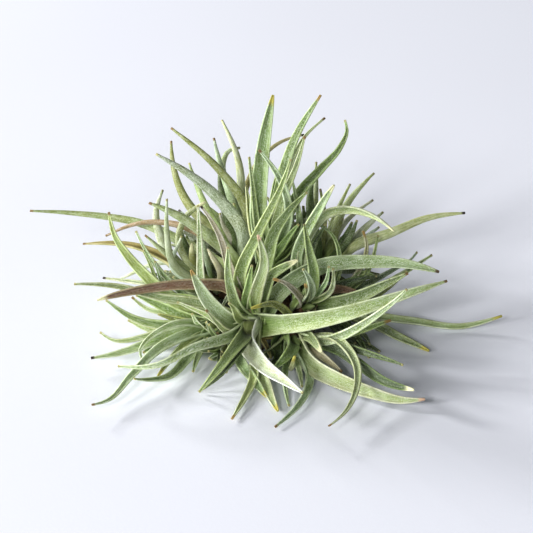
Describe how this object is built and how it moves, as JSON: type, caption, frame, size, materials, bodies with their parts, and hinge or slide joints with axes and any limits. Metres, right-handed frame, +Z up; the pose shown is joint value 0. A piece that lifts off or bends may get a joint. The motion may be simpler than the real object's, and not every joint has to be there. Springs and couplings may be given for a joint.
{
  "type": "air plant",
  "caption": "Clump of silvery green air plant rosettes with narrow channelled leaves that taper to fine tips, growing from one woody root crown and resting on a surface",
  "frame": {"origin": "Middle of the small flat underside of the root crown, on the surface that the plant rests on", "axes": "+Z is up, +X runs along the clump's long way, and -Y faces the side with the broad front rosette"},
  "size_m": [0.1513, 0.1287, 0.0738],
  "materials": {
    "leaf": "matt, with a fine silver scurf",
    "root": "dry and fibrous"
  },
  "bodies": {
    "root": {"root_crown": "root", "heart_rosette": "leaf", "crest_rosette": "leaf", "right_rosette": "leaf", "right_low_rosette": "leaf", "right_side_rosette": "leaf", "right_upper_rosette": "leaf", "left_rosette": "leaf", "left_upper_rosette": "leaf", "rear_top_rosette": "leaf", "pup_rosette": "leaf", "rear_rosette": "leaf", "rear_right_rosette": "leaf", "rear_left_rosette": "leaf"}
  },
  "joints": []
}
